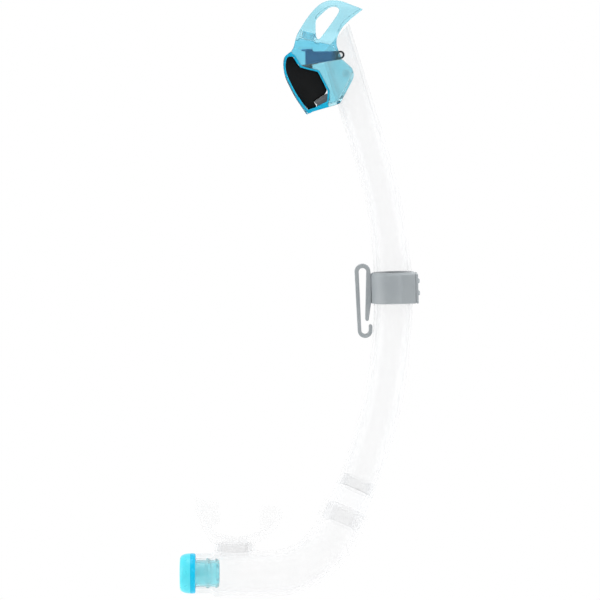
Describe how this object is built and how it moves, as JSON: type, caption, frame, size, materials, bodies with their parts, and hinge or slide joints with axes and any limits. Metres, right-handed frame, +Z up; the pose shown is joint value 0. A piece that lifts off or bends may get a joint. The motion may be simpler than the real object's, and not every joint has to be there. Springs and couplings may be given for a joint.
{
  "type": "snorkel",
  "caption": "Clear J-shaped breathing tube with a hooded float valve on top, a sliding strap clip, a soft elbow, a bite piece and a purge valve.",
  "frame": {"origin": "middle of the strap slot in the clip's hook", "axes": "+Z up the tube, +X from the mouthpiece side to the tube's outer side, +Y across the tube, away from a viewer who has the mouthpiece on the left"},
  "size_m": [0.154, 0.0312, 0.3823],
  "materials": {
    "clip": "satin",
    "clear_tube": "polished",
    "coupling": "polished",
    "hood": "polished",
    "chamber": "polished",
    "grille": "matt",
    "float": "matt",
    "arm": "satin",
    "silicone": "glossy",
    "purge": "glossy",
    "ring": "glossy",
    "cover": "satin"
  },
  "bodies": {
    "clip": {"clip_band": "clip", "strap_hook": "clip", "clip_keeper": "clip", "clip_rivets": "clip"},
    "tube": {"main_tube": "clear_tube", "coupling": "coupling", "crest": "hood", "valve_seat": "clear_tube", "float_chamber": "chamber", "drain_grille": "grille", "hinge_pins": "clear_tube", "snap_pegs": "clear_tube"},
    "float": {"float": "float", "float_arm": "arm", "valve_seal": "silicone"},
    "breather": {"elbow": "silicone", "mouthpiece": "silicone", "purge_body": "purge", "purge_ring": "ring", "purge_cover": "cover"},
    "purge_flap": {"purge_diaphragm": "silicone"}
  },
  "joints": [
    {"name": "clip_slide", "type": "hinge", "parent": "clip", "child": "tube", "pos_m": [-0.2925, 0, -0.0036], "axis": [0, 1, 0], "range_deg": [-12, 12]},
    {"name": "float_hinge", "type": "hinge", "parent": "tube", "child": "float", "pos_m": [-0.0146, 0, 0.15334], "axis": [0, 1, 0], "range_deg": [0, 12]},
    {"name": "elbow_swivel", "type": "hinge", "parent": "tube", "child": "breather", "pos_m": [-0.01034, 0, -0.13738], "axis": [0.3907, 0, 0.9205], "range_deg": [-90, 90]},
    {"name": "purge_lift", "type": "slide", "parent": "breather", "child": "purge_flap", "axis": [-1, 0, 0], "range_m": [0, 0.0015], "stiffness_N_per_m": 20}
  ]
}
